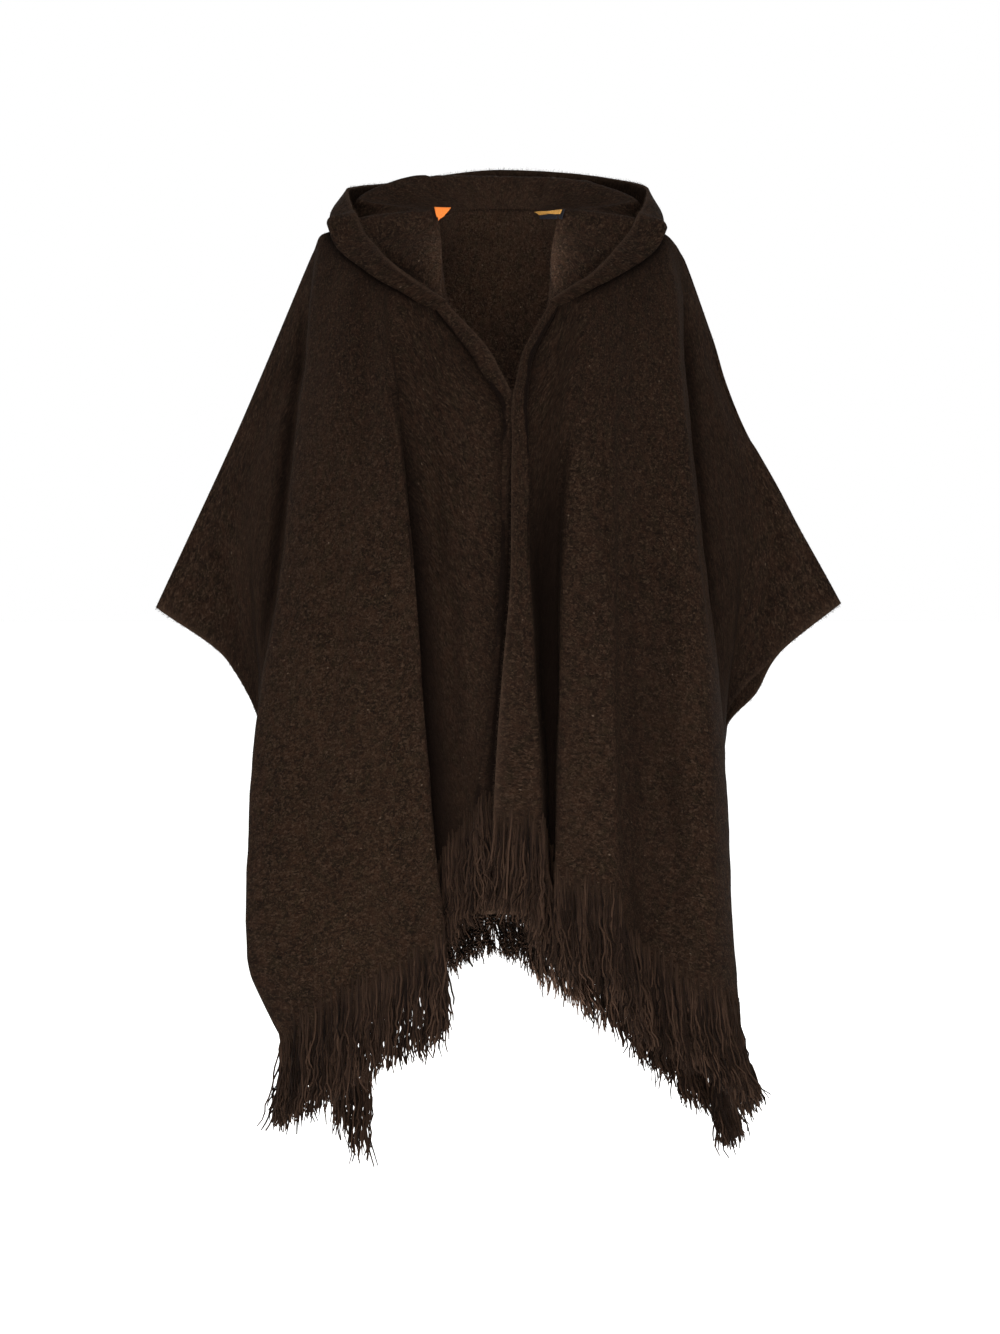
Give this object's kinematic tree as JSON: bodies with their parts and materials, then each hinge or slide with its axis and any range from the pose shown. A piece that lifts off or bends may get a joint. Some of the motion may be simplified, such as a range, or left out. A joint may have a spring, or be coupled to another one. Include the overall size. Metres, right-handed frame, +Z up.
{
  "type": "hooded cape",
  "caption": "Poncho-like wool cape that hangs from the shoulders, with a soft hood, turned-out front edges, deep pleats and a yarn fringe along the hem.",
  "frame": {"origin": "midway between the two shoulder points, where the wearer's shoulders hold the cape up", "axes": "+Z up, -Y towards the front, +X towards the right of a viewer who faces the front"},
  "size_m": [0.7856, 0.3867, 1.1494],
  "materials": {
    "wool_cloth": "brushed heathered dark brown wool, matt",
    "wool_yarn": "loose twisted dark brown yarn, matt",
    "orange_ribbon": "woven ribbon, satin",
    "dark_label": "woven dark label with a gold upper edge, satin"
  },
  "bodies": {
    "root": {"back_panel": "wool_cloth", "front_panel_l": "wool_cloth", "front_panel_r": "wool_cloth", "hood_l": "wool_cloth", "hood_r": "wool_cloth", "fringe_back": "wool_yarn", "fringe_front_l": "wool_yarn", "fringe_front_r": "wool_yarn", "neck_tab": "orange_ribbon", "neck_label": "dark_label"}
  },
  "joints": []
}
